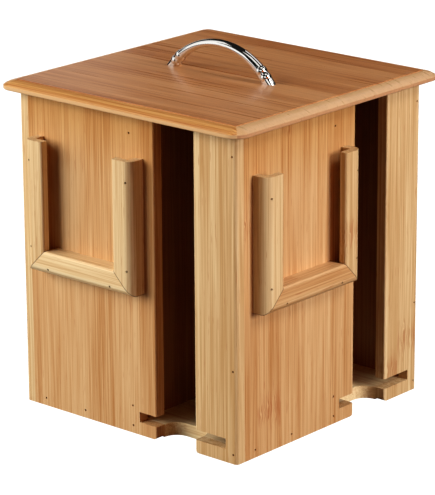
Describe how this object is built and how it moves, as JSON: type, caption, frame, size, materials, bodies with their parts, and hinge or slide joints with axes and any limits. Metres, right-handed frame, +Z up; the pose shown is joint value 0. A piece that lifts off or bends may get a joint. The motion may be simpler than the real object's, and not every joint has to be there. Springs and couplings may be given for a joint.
{
  "type": "tea bag organizer box",
  "caption": "Square bamboo tea bag box with divided compartments, a dispensing slot, finger scoop and small display frame on each side, and a lift-off lid with a metal bow handle.",
  "frame": {"origin": "centre of the box's underside, on the surface it stands on", "axes": "+Z up; -Y out of the front wall, +X out of the right wall; the handle runs along X"},
  "size_m": [0.184, 0.184, 0.2135],
  "materials": {
    "bamboo_light": "clear satin lacquer on light bamboo",
    "bamboo_mid": "clear satin lacquer on bamboo",
    "bamboo_dark": "clear satin lacquer on darker bamboo",
    "polished_metal": "polished plating",
    "screw_steel": "zinc plated steel",
    "brad_steel": "dull steel"
  },
  "bodies": {
    "box": {"base_plate": "bamboo_light", "front_panel": "bamboo_mid", "right_panel": "bamboo_mid", "back_panel": "bamboo_mid", "left_panel": "bamboo_mid", "front_strip": "bamboo_light", "right_strip": "bamboo_light", "back_strip": "bamboo_light", "left_strip": "bamboo_light", "front_divider": "bamboo_mid", "right_divider": "bamboo_mid", "back_divider": "bamboo_mid", "left_divider": "bamboo_mid", "front_frame_left_rail": "bamboo_light", "front_frame_right_rail": "bamboo_light", "front_frame_bottom_rail": "bamboo_light", "right_frame_left_rail": "bamboo_light", "right_frame_right_rail": "bamboo_light", "right_frame_bottom_rail": "bamboo_light", "back_frame_left_rail": "bamboo_light", "back_frame_right_rail": "bamboo_light", "back_frame_bottom_rail": "bamboo_light", "left_frame_left_rail": "bamboo_light", "left_frame_right_rail": "bamboo_light", "left_frame_bottom_rail": "bamboo_light", "corner_brads": "brad_steel", "divider_brads": "brad_steel", "base_brads": "brad_steel", "frame_brads": "brad_steel"},
    "lid": {"lid_board": "bamboo_dark", "lid_block_front_left": "bamboo_mid", "lid_block_front_right": "bamboo_mid", "lid_block_back_right": "bamboo_mid", "lid_block_back_left": "bamboo_mid", "handle": "polished_metal", "handle_screws": "screw_steel"}
  },
  "joints": [
    {"name": "lid_lift", "type": "slide", "parent": "box", "child": "lid", "axis": [0, 0, 1], "range_m": [0, 0.1]}
  ]
}
